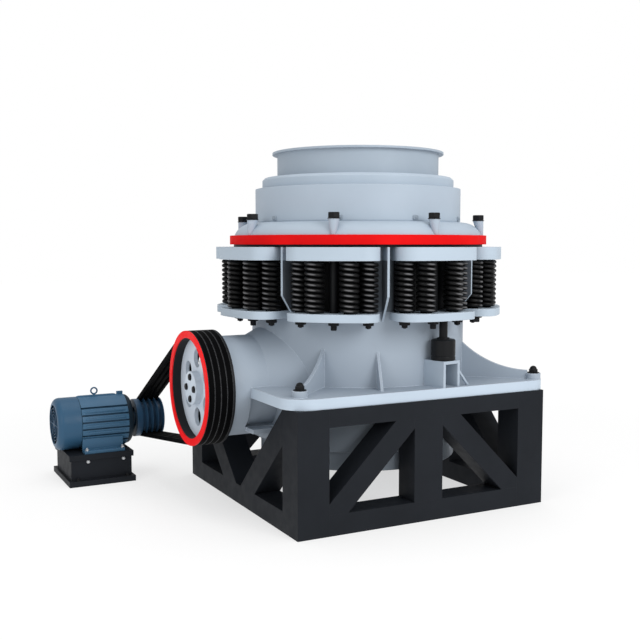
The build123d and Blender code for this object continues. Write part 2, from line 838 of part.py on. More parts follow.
# Release cylinder on its support box, which is open to the front, with a strut beside it
support_top = base_plate_top + support_box_height
support_front = shell_radius + support_box_reach
outwards = Vector(*polar(1, cylinder_angle), 0)
sideways = Vector(*polar(1, cylinder_angle + 90), 0)
box_plane = Plane(origin=(0, 0, base_plate_top), x_dir=sideways, z_dir=(0, 0, 1))
front_plane = Plane(origin=outwards * support_front + (0, 0, base_plate_top), x_dir=sideways, z_dir=outwards)
box_side = support_box_width / 2
with BuildPart() as cylinder_support:
    with BuildSketch(box_plane):
        with Locations((0, -support_front / 2)):
            Rectangle(support_box_width, support_front)
    extrude(amount=support_box_height)
    with BuildSketch(front_plane):
        with Locations((0, (support_box_height - support_box_wall) / 2)):
            Rectangle(support_box_width - 2 * support_box_wall, support_box_height - support_box_wall)
    extrude(amount=-support_box_reach, mode=Mode.SUBTRACT)
    with BuildSketch(front_plane.offset(-support_box_wall)):
        with BuildLine():
            Polyline(
                (box_side, strut_height),
                (box_side + strut_reach, 0),
                (box_side + strut_reach - strut_width, 0),
                (box_side, strut_height - strut_width),
                close=True,
            )
        make_face()
    extrude(amount=strut_thickness)
    with BuildSketch(Plane.XY.offset(base_plate_top)):
        Circle(shell_radius)
    extrude(amount=support_box_height, mode=Mode.SUBTRACT)
cylinder_support.part.label = "cylinder_support"
export_step(cylinder_support.part, "parts/cylinder_support.step")

cylinder_place = polar(shell_radius + cylinder_reach, cylinder_angle)
with BuildPart() as release_cylinder:
    with BuildSketch(Plane.XY.offset(support_top)):
        with Locations(cylinder_place):
            Circle(cylinder_radius)
    extrude(amount=cylinder_height)
    fillet(release_cylinder.edges().group_by(Axis.Z)[-1], cylinder_round_radius)
    with BuildSketch(Plane.XY.offset(support_top + cylinder_height)):
        with Locations(cylinder_place):
            Circle(cylinder_rod_radius)
    extrude(amount=lower_plate_bottom - support_top - cylinder_height)
release_cylinder.part.label = "release_cylinder"
export_step(release_cylinder.part, "parts/release_cylinder.step")


# Sheave on the countershaft: grooved rim, red face ring, web with holes, hub and bolts
def groove(x, outer):
    """Outline of one V-groove in a rim of the given outer radius, as (x, radius) points."""
    top = belt_top_width / 2 + belt_clearance
    bottom = belt_bottom_width / 2 + belt_clearance
    floor = outer - belt_height - belt_clearance
    return [(x - top, outer), (x - bottom, floor), (x + bottom, floor), (x + top, outer)]


def grooved_outline(left, right, outer, inner):
    """Closed outline of a grooved rim between two faces, from its inner radius outwards."""
    points = [(left, inner), (left, outer)]
    for x in belt_places:
        points.extend(groove(x, outer))
    points.extend([(right, outer), (right, inner)])
    return points


rim_left = sheave_face + face_ring_thickness
web_face = sheave_face + web_depth
hub_face = sheave_face + hub_face_depth
with BuildPart() as sheave_rim:
    with BuildSketch(shaft_section):
        with BuildLine():
            Polyline(
                *grooved_outline(rim_left, sheave_back, sheave_radius, sheave_rim_inner),
                close=True,
            )
        make_face()
    revolve(axis=shaft_axis)
sheave_rim.part.label = "sheave_rim"
export_step(sheave_rim.part, "parts/sheave_rim.step")

with BuildPart() as sheave_face_ring:
    with BuildSketch(shaft_plane(sheave_face, 0, shaft_height)):
        Circle(sheave_radius)
        Circle(sheave_rim_inner, mode=Mode.SUBTRACT)
    extrude(amount=face_ring_thickness)
sheave_face_ring.part.label = "sheave_face_ring"
export_step(sheave_face_ring.part, "parts/sheave_face_ring.step")

with BuildPart() as sheave_web:
    with BuildSketch(shaft_plane(web_face, 0, shaft_height)):
        Circle(sheave_rim_inner)
        Circle(sheave_hub_radius, mode=Mode.SUBTRACT)
        with PolarLocations(web_hole_circle_radius, web_holes, start_angle=web_hole_start):
            Circle(web_hole_radius, mode=Mode.SUBTRACT)
    extrude(amount=web_thickness)
sheave_web.part.label = "sheave_web"
export_step(sheave_web.part, "parts/sheave_web.step")

with BuildPart() as sheave_hub:
    with BuildSketch(shaft_plane(hub_face, 0, shaft_height)):
        Circle(sheave_hub_radius)
    extrude(amount=sheave_back - hub_face)
sheave_hub.part.label = "sheave_hub"
export_step(sheave_hub.part, "parts/sheave_hub.step")

with BuildPart() as hub_bolts:
    with BuildSketch(shaft_plane(hub_face - hub_bolt_height, 0, shaft_height)):
        with PolarLocations(hub_bolt_circle_radius, hub_bolt_count):
            Circle(hub_bolt_radius)
    extrude(amount=hub_bolt_height)
hub_bolts.part.label = "hub_bolts"
export_step(hub_bolts.part, "parts/hub_bolts.step")

with BuildPart() as countershaft:
    with BuildSketch(shaft_plane(sheave_back, 0, shaft_height)):
        Circle(shaft_radius)
    extrude(amount=-hub_radius / 2 - sheave_back)
countershaft.part.label = "countershaft"
export_step(countershaft.part, "parts/countershaft.step")

# Motor pulley and shaft
motor_axis = Axis((0, motor_y, motor_z), (1, 0, 0))
motor_section = Plane(origin=(0, motor_y, motor_z), x_dir=(1, 0, 0), z_dir=(0, -1, 0))
with BuildPart() as motor_pulley:
    with BuildSketch(motor_section):
        with BuildLine():
            Polyline(
                *grooved_outline(pulley_left, pulley_right, pulley_radius, motor_shaft_radius),
                close=True,
            )
        make_face()
    revolve(axis=motor_axis)
    with BuildSketch(shaft_plane(pulley_left, motor_y, motor_z)):
        Circle(pulley_radius - pulley_rim_wall)
        Circle(motor_shaft_radius + pulley_boss_wall, mode=Mode.SUBTRACT)
    extrude(amount=pulley_hollow_depth, mode=Mode.SUBTRACT)
motor_pulley.part.label = "motor_pulley"
export_step(motor_pulley.part, "parts/motor_pulley.step")

with BuildPart() as motor_shaft:
    with BuildSketch(shaft_plane(shield_nose_right + shaft_clearance, motor_y, motor_z)):
        Circle(motor_shaft_radius)
    extrude(amount=pulley_right - shield_nose_right - shaft_clearance)
motor_shaft.part.label = "motor_shaft"
export_step(motor_shaft.part, "parts/motor_shaft.step")

# V-belts: each is a closed loop of two arcs and their outer tangents
centre_distance = hypot(motor_y, shaft_height - motor_z)
slope = atan2(motor_z - shaft_height, motor_y)
wrap = acos((sheave_radius - pulley_radius) / centre_distance)


def belt_point(centre, radius, turn):
    """Point of a belt's path at a radius round one centre, turned from the line of centres."""
    return (centre[0] + radius * cos(slope + turn), centre[1] + radius * sin(slope + turn))


sheave_centre = (0.0, shaft_height)
pulley_centre = (motor_y, motor_z)
with BuildPart() as drive_belts:
    for x in belt_places:
        with BuildLine(Plane(origin=(x, 0, 0), x_dir=(0, 1, 0), z_dir=(1, 0, 0))) as path:
            top_left = belt_point(sheave_centre, sheave_radius, wrap)
            low_left = belt_point(sheave_centre, sheave_radius, -wrap)
            top_right = belt_point(pulley_centre, pulley_radius, wrap)
            low_right = belt_point(pulley_centre, pulley_radius, -wrap)
            Line(top_left, top_right)
            ThreePointArc(top_right, belt_point(pulley_centre, pulley_radius, 0), low_right)
            Line(low_right, low_left)
            ThreePointArc(low_left, belt_point(sheave_centre, -sheave_radius, 0), top_left)
        start = path.wires()[0] @ 0
        along = path.wires()[0] % 0
        with BuildSketch(Plane(origin=start, x_dir=(1, 0, 0), z_dir=along)) as section:
            inward = 1 if section.workplanes[0].y_dir.dot(Vector(0, 0, shaft_height) - start) > 0 else -1
            with BuildLine():
                Polyline(
                    (-belt_top_width / 2, 0),
                    (belt_top_width / 2, 0),
                    (belt_bottom_width / 2, inward * belt_height),
                    (-belt_bottom_width / 2, inward * belt_height),
                    close=True,
                )
            make_face()
        sweep(path=path.wires()[0])
drive_belts.part.label = "drive_belts"
export_step(drive_belts.part, "parts/drive_belts.step")

# Motor: grooved body with feet and lug, fan cover, end shield and lifting eye
with BuildPart() as motor_body:
    with BuildSketch(shaft_plane(motor_left, motor_y, motor_z)):
        Circle(motor_radius)
        with GridLocations(0, motor_groove_spacing, 1, motor_grooves):
            Rectangle(2 * motor_radius, motor_groove_width, mode=Mode.SUBTRACT)
        Circle(motor_radius - motor_groove_depth)
    extrude(amount=motor_right - motor_left)
    foot_middle = motor_left + foot_length / 2
    for hand in (-1, 1):
        outer_edge = motor_y + hand * (motor_radius + foot_overhang_width)
        with BuildSketch(Plane.XY.offset(pedestal_top)):
            with Locations((foot_middle, outer_edge - hand * foot_plate_width / 2)):
                Rectangle(foot_length, foot_plate_width)
        extrude(amount=foot_plate_thickness)
        with BuildSketch(Plane.XY.offset(foot_top)):
            with Locations((foot_middle, outer_edge - hand * (foot_plate_width - foot_web_thickness / 2))):
                Rectangle(foot_length, foot_web_thickness)
        extrude(amount=motor_z - foot_top - motor_radius / 2)
    with BuildSketch(Plane.XY.offset(motor_z)):
        with Locations((motor_right - lug_length / 2, motor_y)):
            Rectangle(lug_length, lug_thickness)
    extrude(amount=motor_radius + lug_height)
motor_body.part.label = "motor_body"
export_step(motor_body.part, "parts/motor_body.step")

with BuildPart() as fan_cover:
    with BuildSketch(shaft_plane(motor_left, motor_y, motor_z)):
        Circle(motor_radius + fan_cover_step_width)
    extrude(amount=-fan_cover_length)
    chamfer(fan_cover.edges().group_by(Axis.X)[0], fan_cover_bevel_width)
fan_cover.part.label = "fan_cover"
export_step(fan_cover.part, "parts/fan_cover.step")

with BuildPart() as end_shield:
    with BuildSketch(shaft_plane(motor_right, motor_y, motor_z)):
        Circle(motor_radius - end_shield_step_width)
    extrude(amount=end_shield_thickness)
    fillet(end_shield.edges().group_by(Axis.X)[-1], end_shield_round_radius)
    with BuildSketch(shaft_plane(end_shield_right, motor_y, motor_z)):
        Circle(shield_nose_radius)
    extrude(amount=shield_nose_thickness)
end_shield.part.label = "end_shield"
export_step(end_shield.part, "parts/end_shield.step")

eye_x = motor_left + eye_setback_length
with BuildPart() as lifting_eye:
    with Locations((eye_x, motor_y, motor_top + eye_boss_height / 2)):
        Cone(eye_boss_radius, eye_wire_radius, eye_boss_height)
    with Locations(Location((eye_x, motor_y, motor_top + eye_boss_height + eye_ring_radius), (90, 0, 0))):
        Torus(eye_ring_radius, eye_wire_radius)
lifting_eye.part.label = "lifting_eye"
export_step(lifting_eye.part, "parts/lifting_eye.step")

# Motor pedestal: base plate, box and top plate
pedestal_x = motor_left + pedestal_setback_length
box_bottom = pedestal_plate_thickness
box_top = pedestal_top - pedestal_plate_thickness
with BuildPart() as motor_pedestal:
    for outline, bottom, top in (
        (pedestal_base_plate, 0, box_bottom),
        (pedestal_box, box_bottom, box_top),
        (pedestal_top_plate, box_top, pedestal_top),
    ):
        with BuildSketch(Plane.XY.offset(bottom)):
            with Locations((pedestal_x, motor_y)):
                Rectangle(*outline)
        extrude(amount=top - bottom)
motor_pedestal.part.label = "motor_pedestal"
export_step(motor_pedestal.part, "parts/motor_pedestal.step")
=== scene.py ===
# %% [markdown]
# # A spring cone crusher, dressed around its CAD frame
# The crusher, its stand and its motor come in as a fixed frame. This file finishes every surface, and makes
# the parts that are too fine for the frame: wound springs, hexagon nuts, threads and the fan's grille.
# Everything is in metres, +Z up, with the origin on the crusher's axis at ground level.

import json
import math

import bpy
import numpy as np
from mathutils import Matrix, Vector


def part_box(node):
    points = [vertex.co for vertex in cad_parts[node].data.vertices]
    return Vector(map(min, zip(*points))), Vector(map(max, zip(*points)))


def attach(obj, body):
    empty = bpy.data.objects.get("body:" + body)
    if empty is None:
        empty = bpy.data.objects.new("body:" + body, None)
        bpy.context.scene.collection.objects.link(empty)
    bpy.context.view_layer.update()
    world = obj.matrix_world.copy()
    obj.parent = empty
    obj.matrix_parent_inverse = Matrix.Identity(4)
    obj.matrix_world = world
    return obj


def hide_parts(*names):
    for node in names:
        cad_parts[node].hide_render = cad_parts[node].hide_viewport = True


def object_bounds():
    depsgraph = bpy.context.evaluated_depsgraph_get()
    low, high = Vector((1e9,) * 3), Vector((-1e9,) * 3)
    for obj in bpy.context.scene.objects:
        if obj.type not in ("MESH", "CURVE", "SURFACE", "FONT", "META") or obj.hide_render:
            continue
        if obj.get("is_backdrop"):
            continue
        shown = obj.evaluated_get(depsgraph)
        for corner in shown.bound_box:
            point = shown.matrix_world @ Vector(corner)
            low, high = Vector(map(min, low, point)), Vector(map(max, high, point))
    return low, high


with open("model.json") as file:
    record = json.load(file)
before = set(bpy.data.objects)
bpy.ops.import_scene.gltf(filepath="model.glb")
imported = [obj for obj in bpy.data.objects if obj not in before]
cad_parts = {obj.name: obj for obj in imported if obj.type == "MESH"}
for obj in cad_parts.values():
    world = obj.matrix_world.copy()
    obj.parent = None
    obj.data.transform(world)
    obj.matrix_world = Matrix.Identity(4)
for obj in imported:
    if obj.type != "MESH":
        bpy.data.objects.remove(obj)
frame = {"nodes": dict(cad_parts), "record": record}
cad_low, cad_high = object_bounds()
nodes = frame["nodes"]
slots = {row["node"]: row["material_slot"] for row in frame["record"]["subparts"]}
print("nodes in the frame:", len(nodes))

# %% [markdown]
# ## The camera
# The view is from a little under the top of the crusher, turned to the right of +Y and tipped slightly down.
# The place and the angles come from the square stand and the round rings, whose outlines fix a perspective
# camera completely. The focal length is for a 36 mm wide frame.

# %% Camera
camera_place = (-3.6021, -6.3310, 1.9502)
camera_turn = 27.32
camera_pitch = 4.72
camera_lens = 51.74

camera_data = bpy.data.cameras.new("view_camera")
camera_data.lens = camera_lens
camera_data.sensor_width = 36.0
camera_data.clip_end = 200.0
camera = bpy.data.objects.new("view_camera", camera_data)
camera.location = camera_place
camera.rotation_euler = (math.radians(90 - camera_pitch), 0, -math.radians(camera_turn))
bpy.context.collection.objects.link(camera)
bpy.context.scene.camera = camera
print("camera from the axis:", round(math.hypot(*camera_place[:2]), 2))

# %% [markdown]
# ## Node helpers
# A finish is a small net of nodes. A few helpers keep the nets short: one joins an output to a socket or sets
# the socket's constant, some do arithmetic, one blends two colours and one gives noise. Every pattern reads
# the object's own coordinates, so it stays on its piece when the piece turns.

# %% Joining, arithmetic and blending


def wire(tree, value, socket):
    """Join an output to a socket, or set the socket to a constant."""
    if isinstance(value, bpy.types.NodeSocket):
        tree.links.new(value, socket)
    else:
        socket.default_value = value


def maths(tree, operation, first, second=0.0):
    """One arithmetic operation on two values."""
    node = tree.nodes.new("ShaderNodeMath")
    node.operation = operation
    wire(tree, first, node.inputs[0])
    wire(tree, second, node.inputs[1])
    return node.outputs[0]


def plus(tree, first, second):
    """The sum of two values."""
    return maths(tree, "ADD", first, second)


def minus(tree, first, second):
    """The first value less the second."""
    return maths(tree, "SUBTRACT", first, second)


def times(tree, first, second):
    """The product of two values."""
    return maths(tree, "MULTIPLY", first, second)


def between(tree, value, low, high):
    """1 where the value is between two levels, 0 elsewhere."""
    return times(tree, maths(tree, "GREATER_THAN", value, low), maths(tree, "LESS_THAN", value, high))


def ranged(tree, value, low, high, to_low=0.0, to_high=1.0):
    """The value's range low to high, stretched to another range and held at its ends."""
    node = tree.nodes.new("ShaderNodeMapRange")
    wire(tree, value, node.inputs["Value"])
    for socket, number in (("From Min", low), ("From Max", high), ("To Min", to_low), ("To Max", to_high)):
        node.inputs[socket].default_value = number
    return node.outputs["Result"]


def blended(tree, factor, first, second):
    """The first colour where the factor is 0, the second where it is 1."""
    node = tree.nodes.new("ShaderNodeMix")
    node.data_type = "RGBA"
    wire(tree, factor, node.inputs[0])
    wire(tree, first, node.inputs[6])
    wire(tree, second, node.inputs[7])
    return node.outputs[2]


print("helpers for nets:", ", ".join(helper.__name__ for helper in (wire, maths, between, ranged, blended)))

# %% Coordinates, noise and colour


def axes_of(tree, output):
    """The x, y and z of the object's own coordinates ("Object") or of its normal ("Normal")."""
    place = tree.nodes.new("ShaderNodeTexCoord")
    node = tree.nodes.new("ShaderNodeSeparateXYZ")
    tree.links.new(place.outputs[output], node.inputs[0])
    return node.outputs[0], node.outputs[1], node.outputs[2]


def noise(tree, scale, detail):
    """Cloudy noise in the object's own coordinates."""
    place = tree.nodes.new("ShaderNodeTexCoord")
    node = tree.nodes.new("ShaderNodeTexNoise")
    node.inputs["Scale"].default_value = scale
    node.inputs["Detail"].default_value = detail
    tree.links.new(place.outputs["Object"], node.inputs["Vector"])
    return node.outputs["Fac"]


def linear(red, green, blue):
    """Scene-linear colour of an 8-bit colour: c / 12.92 near black, else ((c + 0.055) / 1.055) to the power 2.4."""
    c = np.array([red, green, blue]) / 255.0
    return tuple(np.where(c <= 0.04045, c / 12.92, ((c + 0.055) / 1.055) ** 2.4)) + (1.0,)


print("8-bit grey 128 reflects", round(float(linear(128, 128, 128)[0]), 3), "of the light")

# %% [markdown]
# ## The studio
# A machine in a catalogue stands on a white sweep: a floor that runs up into a white wall with no edge. Here
# the floor is a plain matt sheet that slowly starts to glow with distance, so it meets the white background
# without a line, and near the machine it takes the soft contact shadows.

# %% Floor
floor_half = 40.0
floor_white = (0.95, 0.95, 0.95, 1)
glow_from, glow_to = 1.0, 6.0
glow_near = 0.6

floor_corners = [(x * floor_half, y * floor_half, 0) for x, y in ((-1, -1), (1, -1), (1, 1), (-1, 1))]
floor_mesh = bpy.data.meshes.new("studio_floor")
floor_mesh.from_pydata(floor_corners, [], [(0, 1, 2, 3)])
floor = bpy.data.objects.new("studio_floor", floor_mesh)
bpy.context.collection.objects.link(floor)
floor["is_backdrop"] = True

floor_paint = bpy.data.materials.new("white_sweep")
floor_paint.use_nodes = True
floor_tree = floor_paint.node_tree
floor_shader = floor_tree.nodes["Principled BSDF"]
floor_shader.inputs["Roughness"].default_value = 0.9
floor_shader.inputs["Specular IOR Level"].default_value = 0.1
floor_shader.inputs["Emission Color"].default_value = (1, 1, 1, 1)
floor_place = floor_tree.nodes.new("ShaderNodeTexCoord")
floor_reach = floor_tree.nodes.new("ShaderNodeVectorMath")
floor_reach.operation = "LENGTH"
floor_tree.links.new(floor_place.outputs["Object"], floor_reach.inputs[0])
glow = ranged(floor_tree, floor_reach.outputs["Value"], glow_from, glow_to, glow_near, 1.0)
wire(floor_tree, glow, floor_shader.inputs["Emission Strength"])
wire(floor_tree, blended(floor_tree, glow, floor_white, (0, 0, 0, 1)), floor_shader.inputs["Base Color"])
floor_mesh.materials.append(floor_paint)
print("floor glows fully from", glow_to, "m out")

# %% [markdown]
# ## Light
# Soft white light comes from all round, and a large softbox at the front right makes the faces there the
# brightest, so rings and edges read. A weaker one fills the left, and a top box whitens the floor. The
# background is white to the camera, and gives a little less light than it shows. The plain transform keeps
# the red as strong as the paint is.

# %% World and lamps
world_light = 0.63
world = bpy.data.worlds.new("studio")
world.use_nodes = True
world_tree = world.node_tree
backdrop = world_tree.nodes["Background"]
backdrop.inputs["Color"].default_value = (1, 1, 1, 1)
seen = world_tree.nodes.new("ShaderNodeLightPath")
backdrop_light = ranged(world_tree, seen.outputs["Is Camera Ray"], 0, 1, world_light, 1.0)
wire(world_tree, backdrop_light, backdrop.inputs["Strength"])
bpy.context.scene.world = world
bpy.context.scene.view_settings.view_transform = "Standard"


def softbox(name, place, aim, size, watts):
    """A square area lamp that faces a point: tip = atan2(distance over the floor, drop), turned to its heading."""
    data = bpy.data.lights.new(name, "AREA")
    data.shape = "SQUARE"
    data.size = size
    data.energy = watts
    lamp = bpy.data.objects.new(name, data)
    lamp.location = place
    ahead = np.array(aim) - np.array(place)
    tip = math.atan2(math.hypot(ahead[0], ahead[1]), -ahead[2])
    lamp.rotation_euler = (tip, 0, math.atan2(ahead[1], ahead[0]) - math.pi / 2)
    bpy.context.collection.objects.link(lamp)


softbox("key_light", place=(1.5, -8.8, 5.5), aim=(0, 0, 1.3), size=4.5, watts=440)
softbox("fill_light", place=(-8.0, -3.5, 4.0), aim=(0, 0, 1.6), size=3.5, watts=110)
softbox("top_light", place=(0.0, 0.5, 8.0), aim=(0, 0, 0.0), size=7.0, watts=200)
print("lamps:", len(bpy.data.lights))

# %% [markdown]
# ## Paint
# Machine paint is sprayed over castings and plate. It is even in colour and slightly rough like orange peel.
# Its edges are painted brighter, partly as paint rubbed where hands, chains and tools touch them and partly as
# a painted highlight along each edge. One recipe serves all: a broad noise shifts the colour by a few percent,
# a middle one the gloss, a fine one the bump. A rounded-corner normal softens each edge, and where it leaves
# the flat normal, the edge colour shows.

# %% The paint recipe
cloud_scale, gloss_scale, patch_scale = 2.2, 14.0, 30.0
edge_from, edge_full = 0.98, 0.8
least_worn_or_lit = 0.55
bump_height = 0.01
print("the edge colour starts", round(math.degrees(math.acos(edge_from))), "degrees off the flat normal")


def painted(name, colour, edge, roughness=0.45, metal=0.0, specular=0.5, variation=0.05, grain=90.0, bump=0.02,
            wear=0.6, round_by=0.004, coat=None, cover=None):
    """Paint or bare metal. `coat` and `cover` are (mask function, colour), under and over the edge wear and painted
    highlight.
    """
    material = bpy.data.materials.new(name)
    material.use_nodes = True
    tree = material.node_tree
    shader = tree.nodes["Principled BSDF"]
    shader.inputs["Metallic"].default_value = metal
    shader.inputs["Specular IOR Level"].default_value = specular

    darker = tuple(max(0.0, c * (1 - variation)) for c in colour[:3]) + (1,)
    lighter = tuple(min(1.0, c * (1 + variation)) for c in colour[:3]) + (1,)
    tone = blended(tree, ranged(tree, noise(tree, cloud_scale, 6.0), 0.35, 0.65), darker, lighter)
    if coat:
        tone = blended(tree, coat[0](tree), tone, coat[1])

    rounded = tree.nodes.new("ShaderNodeBevel")
    rounded.samples = 4
    rounded.inputs["Radius"].default_value = round_by
    flat = tree.nodes.new("ShaderNodeNewGeometry")
    agree = tree.nodes.new("ShaderNodeVectorMath")
    agree.operation = "DOT_PRODUCT"
    tree.links.new(rounded.outputs["Normal"], agree.inputs[0])
    tree.links.new(flat.outputs["Normal"], agree.inputs[1])
    # Edge colour: rubbed paint in noisy patches, and a painted highlight along every edge.
    at_edge = ranged(tree, agree.outputs["Value"], edge_from, edge_full, 0.0, wear)
    patchy = ranged(tree, noise(tree, patch_scale, 4.0), 0.3, 0.6, least_worn_or_lit, 1.0)
    tone = blended(tree, times(tree, at_edge, patchy), tone, edge)
    if cover:
        tone = blended(tree, cover[0](tree), tone, cover[1])
    wire(tree, tone, shader.inputs["Base Color"])

    gloss = ranged(tree, noise(tree, gloss_scale, 4.0), 0.3, 0.7, roughness - 0.05, roughness + 0.07)
    wire(tree, gloss, shader.inputs["Roughness"])
    relief = tree.nodes.new("ShaderNodeBump")
    relief.inputs["Strength"].default_value = bump
    relief.inputs["Distance"].default_value = bump_height
    tree.links.new(noise(tree, grain, 3.0), relief.inputs["Height"])
    tree.links.new(rounded.outputs["Normal"], relief.inputs["Normal"])
    tree.links.new(relief.outputs["Normal"], shader.inputs["Normal"])
    return material


# %% [markdown]
# ## The main frame's tones
# The big casting is painted a little darker than the edge of its base plate: painted shade on the casting and
# the tube, painted light on the plate's edge. The two masks on it say where. Between the two rings of seat
# plates, the shell behind the springs is painted black as painted shade, less dark beside each group, and the
# shell inside the stand, under the plate, is painted darker as painted shade.

# %% Masks of the main frame
group_count, first_group = 8, -84.6
pocket_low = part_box("lower_seat_plates")[1][2]
pocket_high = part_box("upper_seat_plates")[0][2]
plate_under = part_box("stand_top_rails")[1][2]
plate_left, plate_thickness = -1.070, 0.075
tube_from = -0.82
hair = 0.002
gap_low, gap_high = -0.85, -0.70
# How dark the painted shade is beside a spring group and under the plate, against 1 behind the springs.
beside_group, under_plate_shade = 0.55, 0.35
print("spring pocket from", round(pocket_low, 3), "to", round(pocket_high, 3))


# Mask of the darker casting tone, a painted shade; the plate's edge keeps the lighter tone, a painted light.
def off_the_plate(tree):
    """1 on the casting, the plate's two faces and the tube, 0 on the plate's edge all round, by height and x."""
    x, _, z = axes_of(tree, "Object")
    off_the_tube = maths(tree, "GREATER_THAN", x, plate_left - hair / 2)
    on_the_edge = between(tree, z, plate_under - hair, plate_under + plate_thickness - hair)
    return minus(tree, 1.0, times(tree, on_the_edge, off_the_tube))


# Painted shade on the shell: black behind the springs, less beside them, darker under the plate inside the stand.
def painted_shade_on_shell(tree):
    """1 behind a spring group, where cos(8 (angle - first angle)) is high, less beside it and under the plate."""
    x, y, z = axes_of(tree, "Object")
    angle = minus(tree, maths(tree, "ARCTAN2", y, x), math.radians(first_group))
    wave = maths(tree, "COSINE", times(tree, angle, float(group_count)))
    behind = ranged(tree, wave, gap_low, gap_high, beside_group, 1.0)
    pocket = times(tree, behind, between(tree, z, pocket_low, pocket_high))
    off_the_tube = maths(tree, "GREATER_THAN", x, tube_from)
    under = times(tree, maths(tree, "LESS_THAN", z, plate_under - hair), off_the_tube)
    return plus(tree, pocket, times(tree, under, under_plate_shade))


# %% [markdown]
# ## The dark sides of the gussets
# A gusset stands between two spring groups. Its sides face the springs and are painted darker as painted
# shade, while its outer edge stays pale. The mask asks which way a face looks, and between which heights.

# %% Mask of the gussets
gusset_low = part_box("gusset_plates")[0][2]
sideways_from = 0.6
print("gussets from", round(gusset_low, 3), "to", round(pocket_high, 3))


# Painted shade on the sides of the gussets.
def painted_shade_on_gussets(tree):
    """1 on faces that look round the ring: the cross product of place and normal is large against the reach."""
    x, y, z = axes_of(tree, "Object")
    nx, ny, _ = axes_of(tree, "Normal")
    turn = minus(tree, times(tree, x, ny), times(tree, y, nx))
    sideways = maths(tree, "GREATER_THAN", maths(tree, "ABSOLUTE", turn), sideways_from)
    return times(tree, sideways, between(tree, z, gusset_low, pocket_high))


# %% [markdown]
# ## The lit crests of the springs
# Springs are dipped in black enamel, and the crest of each turn, which faces outwards, is painted grey as a
# painted highlight. The mask is how squarely a face looks away from the crusher's axis: the normal times the
# unit reach.

# %% Mask of the crests
crest_from, crest_to = 0.86, 0.985
print("crests reach", round(math.degrees(math.acos(crest_from))), "degrees from straight out")


# Mask of the painted highlight on the springs' crests.
def painted_crest_highlight(tree):
    """1 where the normal points straight out from the crusher's axis: (place . normal) / reach, stretched."""
    x, y, _ = axes_of(tree, "Object")
    nx, ny, _ = axes_of(tree, "Normal")
    dot = plus(tree, times(tree, x, nx), times(tree, y, ny))
    reach = maths(tree, "SQRT", plus(tree, times(tree, x, x), times(tree, y, y)))
    return ranged(tree, maths(tree, "DIVIDE", dot, reach), crest_from, crest_to)


# %% [markdown]
# ## The grooves of the motor
# Dust and shade gather at the bottom of the cooling grooves, which look darker than the ribs between them.
# The mask is the distance from the motor's axis: 1 deep in a groove, 0 at the outside.

# %% Mask of the grooves
motor_y, motor_z, motor_radius = 1.330, 0.467, 0.214
groove_from, groove_full = 0.002, 0.010
print("motor's axis is", motor_z, "m over the ground")


def groove_floor(tree):
    """1 on the side grooves' floors and walls, from the distance to the motor's axis."""
    _, y, z = axes_of(tree, "Object")
    across = maths(tree, "POWER", minus(tree, y, motor_y), 2.0)
    up = maths(tree, "POWER", minus(tree, z, motor_z), 2.0)
    reach = maths(tree, "SQRT", plus(tree, across, up))
    return ranged(tree, reach, motor_radius - groove_from, motor_radius - groove_full)


# %% [markdown]
# ## The pale paints
# The crusher is painted in one pale blue-grey, and its parts still differ by a tone: the main casting is painted
# darker as painted shade, the hopper a tone darker, and the flame-cut seat plates lighter as painted light. Each
# has its own colour and shares the edge colour, rubbed paint and a painted highlight.

# %% Pale paints
# Edge colour of the pale paints: rubbed paint and a painted highlight.
pale_wear_and_highlight = linear(222, 232, 244)


def pale_paint(name, colour, specular=0.3, **more):
    """The pale machine paint in one of its tones."""
    return painted(name, colour, pale_wear_and_highlight, 0.5, specular=specular, variation=0.03, **more)


pale = linear(165, 178, 191)
plain_paint = pale_paint("pale_machine_paint", pale, round_by=0.006)
# The darker coat and the black cover are painted shade; the lighter tone left on the plate's edge is painted light.
shell_paint = pale_paint("shell_paint", linear(184, 198, 212), specular=0.2, wear=0.9, round_by=0.008,
                         coat=(off_the_plate, linear(157, 168, 180)),
                         cover=(painted_shade_on_shell, linear(14, 15, 17)))
hopper_paint = pale_paint("hopper_paint", linear(156, 168, 180), specular=0.25, round_by=0.006)
# The seat plates' lighter tone is a painted light.
seat_paint = pale_paint("seat_paint", linear(174, 188, 201), wear=0.9, round_by=0.008)
# The gussets' darker sides are painted shade.
gusset_paint = pale_paint("gusset_paint", pale, cover=(painted_shade_on_gussets, linear(96, 102, 110)))
lug_paint = painted("lug_paint", linear(136, 148, 160), pale_wear_and_highlight, 0.5, specular=0.3)
pale_paints = (plain_paint, shell_paint, hopper_paint, seat_paint, gusset_paint, lug_paint)
print("pale paints:", ", ".join(paint.name for paint in pale_paints))

# %% [markdown]
# ## All finishes
# One finish for each material slot of the frame, and a few more for pieces that need their own: rubber is
# dull and finely grained, castings that rock has worn are bare and pitted, machined steel is bright.

